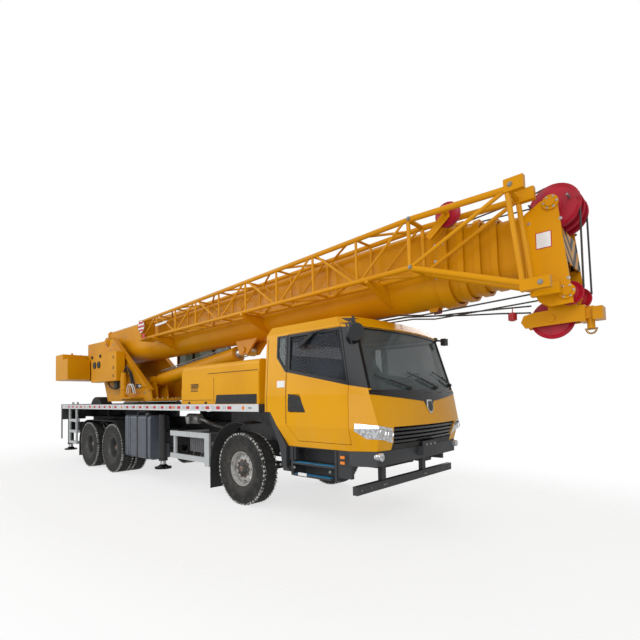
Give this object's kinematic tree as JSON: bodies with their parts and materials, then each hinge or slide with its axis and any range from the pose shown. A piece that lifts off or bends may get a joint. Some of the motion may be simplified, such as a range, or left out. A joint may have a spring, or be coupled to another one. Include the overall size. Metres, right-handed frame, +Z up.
{
  "type": "mobile crane",
  "caption": "Truck-mounted telescopic crane with slewing turret, lift cylinder, outriggers, stowed lattice jib, driver's cab and operator's cab.",
  "frame": {"origin": "on the ground, at the middle of the overall length and on the centre plane", "axes": "+X is forward, +Y is the left side, +Z is up"},
  "size_m": [12.9896, 2.5228, 3.876],
  "materials": {
    "aluminium": "bright strip",
    "chrome": "polished rod",
    "dark": "satin dark grey",
    "engine": "plain",
    "frame": "satin black chassis paint",
    "glass": "tinted glass",
    "interior": "dark trim",
    "lens": "clear lens",
    "paint": "gloss yellow-orange enamel",
    "ring": "dark olive",
    "sheave": "crimson nylon",
    "steel": "plain steel",
    "tank": "dark blue-grey",
    "tyre": "dusty black rubber on a grey rim"
  },
  "bodies": {
    "carrier": {"chassis_frame": "frame", "slew_ring": "ring", "deck": "frame", "side_valances": "aluminium", "deck_cover": "frame", "fuel_tank": "tank", "hydraulic_tank": "tank", "side_guards": "aluminium", "mudguards": "frame", "engine_block": "engine", "engine_hood": "paint", "axles": "frame", "cab_shell": "paint", "cab_glass": "glass", "cab_interior": "interior", "lamps": "lens", "grille": "dark", "bumper": "dark", "mirrors": "dark"},
    "turret": {"turret_frame": "paint", "counterweight": "paint", "turret_boxes": "paint", "winches": "steel", "operator_cab": "paint", "operator_glass": "glass"},
    "operator_door": {"operator_door": "paint", "operator_door_glass": "glass"},
    "boom": {"boom_base": "paint", "jib": "paint", "jib_frame": "paint", "jib_sheave": "sheave", "hook_block": "paint"},
    "boom_section_2": {"boom_section_2": "paint"},
    "boom_section_3": {"boom_section_3": "paint"},
    "boom_section_4": {"boom_section_4": "paint"},
    "boom_head": {"boom_head": "paint", "head_sheaves": "sheave"},
    "lift_barrel": {"lift_barrel": "paint"},
    "lift_rod": {"lift_rod": "chrome"},
    "knuckle_left": {"knuckle_left": "frame"},
    "wheel_front_left": {"wheel_front_left": "tyre"},
    "wheels_second_left": {"wheels_second_left": "tyre"},
    "wheels_third_left": {"wheels_third_left": "tyre"},
    "door_left": {"door_left": "paint", "door_glass_left": "glass"},
    "outrigger_beam_front_left": {"outrigger_beam_front_left": "frame"},
    "outrigger_jack_front_left": {"outrigger_jack_front_left": "frame"},
    "outrigger_beam_rear_left": {"outrigger_beam_rear_left": "frame"},
    "outrigger_jack_rear_left": {"outrigger_jack_rear_left": "frame"},
    "knuckle_right": {"knuckle_right": "frame"},
    "wheel_front_right": {"wheel_front_right": "tyre"},
    "wheels_second_right": {"wheels_second_right": "tyre"},
    "wheels_third_right": {"wheels_third_right": "tyre"},
    "door_right": {"door_right": "paint", "door_glass_right": "glass"},
    "outrigger_beam_front_right": {"outrigger_beam_front_right": "frame"},
    "outrigger_jack_front_right": {"outrigger_jack_front_right": "frame"},
    "outrigger_beam_rear_right": {"outrigger_beam_rear_right": "frame"},
    "outrigger_jack_rear_right": {"outrigger_jack_rear_right": "frame"}
  },
  "joints": [
    {"name": "steer_left", "type": "hinge", "parent": "carrier", "child": "knuckle_left", "pos_m": [2.08523, 0.88, 0.545], "axis": [0, 0, 1], "range_deg": [-35, 35]},
    {"name": "spin_front_left", "type": "hinge", "parent": "knuckle_left", "child": "wheel_front_left", "pos_m": [2.08523, 1.037, 0.545], "axis": [0, 1, 0], "continuous": true},
    {"name": "spin_second_left", "type": "hinge", "parent": "carrier", "child": "wheels_second_left", "pos_m": [-2.46477, 0.917, 0.545], "axis": [0, 1, 0], "continuous": true},
    {"name": "spin_third_left", "type": "hinge", "parent": "carrier", "child": "wheels_third_left", "pos_m": [-3.81477, 0.917, 0.545], "axis": [0, 1, 0], "continuous": true},
    {"name": "steer_right", "type": "hinge", "parent": "carrier", "child": "knuckle_right", "pos_m": [2.08523, -0.88, 0.545], "axis": [0, 0, 1], "range_deg": [-35, 35]},
    {"name": "spin_front_right", "type": "hinge", "parent": "knuckle_right", "child": "wheel_front_right", "pos_m": [2.08523, -1.037, 0.545], "axis": [0, 1, 0], "continuous": true},
    {"name": "spin_second_right", "type": "hinge", "parent": "carrier", "child": "wheels_second_right", "pos_m": [-2.46477, -0.917, 0.545], "axis": [0, 1, 0], "continuous": true},
    {"name": "spin_third_right", "type": "hinge", "parent": "carrier", "child": "wheels_third_right", "pos_m": [-3.81477, -0.917, 0.545], "axis": [0, 1, 0], "continuous": true},
    {"name": "door_left_hinge", "type": "hinge", "parent": "carrier", "child": "door_left", "pos_m": [4.20323, 1.256, 1.8], "axis": [0, 0, -1], "range_deg": [0, 65]},
    {"name": "door_right_hinge", "type": "hinge", "parent": "carrier", "child": "door_right", "pos_m": [4.20323, -1.256, 1.8], "axis": [0, 0, 1], "range_deg": [0, 65]},
    {"name": "beam_front_left_slide", "type": "slide", "parent": "carrier", "child": "outrigger_beam_front_left", "axis": [0, 1, 0], "range_m": [0, 1.75]},
    {"name": "jack_front_left_slide", "type": "slide", "parent": "outrigger_beam_front_left", "child": "outrigger_jack_front_left", "axis": [0, 0, -1], "range_m": [0, 0.285]},
    {"name": "beam_front_right_slide", "type": "slide", "parent": "carrier", "child": "outrigger_beam_front_right", "axis": [0, -1, 0], "range_m": [0, 1.75]},
    {"name": "jack_front_right_slide", "type": "slide", "parent": "outrigger_beam_front_right", "child": "outrigger_jack_front_right", "axis": [0, 0, -1], "range_m": [0, 0.285]},
    {"name": "beam_rear_left_slide", "type": "slide", "parent": "carrier", "child": "outrigger_beam_rear_left", "axis": [0, 1, 0], "range_m": [0, 1.75]},
    {"name": "jack_rear_left_slide", "type": "slide", "parent": "outrigger_beam_rear_left", "child": "outrigger_jack_rear_left", "axis": [0, 0, -1], "range_m": [0, 0.285]},
    {"name": "beam_rear_right_slide", "type": "slide", "parent": "carrier", "child": "outrigger_beam_rear_right", "axis": [0, -1, 0], "range_m": [0, 1.75]},
    {"name": "jack_rear_right_slide", "type": "slide", "parent": "outrigger_beam_rear_right", "child": "outrigger_jack_rear_right", "axis": [0, 0, -1], "range_m": [0, 0.285]},
    {"name": "slew", "type": "hinge", "parent": "carrier", "child": "turret", "pos_m": [-2.86477, 0, 1.58], "axis": [0, 0, 1], "continuous": true},
    {"name": "operator_door_slide", "type": "slide", "parent": "turret", "child": "operator_door", "axis": [-1, 0, 0], "range_m": [0, 0.65]},
    {"name": "luff", "type": "hinge", "parent": "turret", "child": "boom", "pos_m": [-4.31477, 0, 3.2], "axis": [0, -1, 0], "range_deg": [0, 79]},
    {"name": "telescope_2", "type": "slide", "parent": "boom", "child": "boom_section_2", "axis": [0.9999, 0, 0.0157], "range_m": [0, 6.6]},
    {"name": "telescope_3", "type": "slide", "parent": "boom_section_2", "child": "boom_section_3", "axis": [0.9999, 0, 0.0157], "range_m": [0, 6.6]},
    {"name": "telescope_4", "type": "slide", "parent": "boom_section_3", "child": "boom_section_4", "axis": [0.9999, 0, 0.0157], "range_m": [0, 6.6]},
    {"name": "telescope_head", "type": "slide", "parent": "boom_section_4", "child": "boom_head", "axis": [0.9999, 0, 0.0157], "range_m": [0, 6.6]},
    {"name": "lift_barrel_swing", "type": "hinge", "parent": "turret", "child": "lift_barrel", "pos_m": [-2.61477, 0, 2.09], "axis": [0, -1, 0], "range_deg": [0, 85]},
    {"name": "lift_rod_slide", "type": "slide", "parent": "lift_barrel", "child": "lift_rod", "axis": [0.9921, 0, 0.1255], "range_m": [0, 2.579]}
  ],
  "couplings": [
    {"joint": "steer_right", "follows": "steer_left", "ratio": 1},
    {"joint": "telescope_3", "follows": "telescope_2", "ratio": 1},
    {"joint": "telescope_4", "follows": "telescope_2", "ratio": 1},
    {"joint": "telescope_head", "follows": "telescope_2", "ratio": 1},
    {"joint": "lift_barrel_swing", "follows": "luff", "ratio": 1.0537},
    {"joint": "lift_rod_slide", "follows": "luff", "m_per_rad": 1.8562}
  ]
}
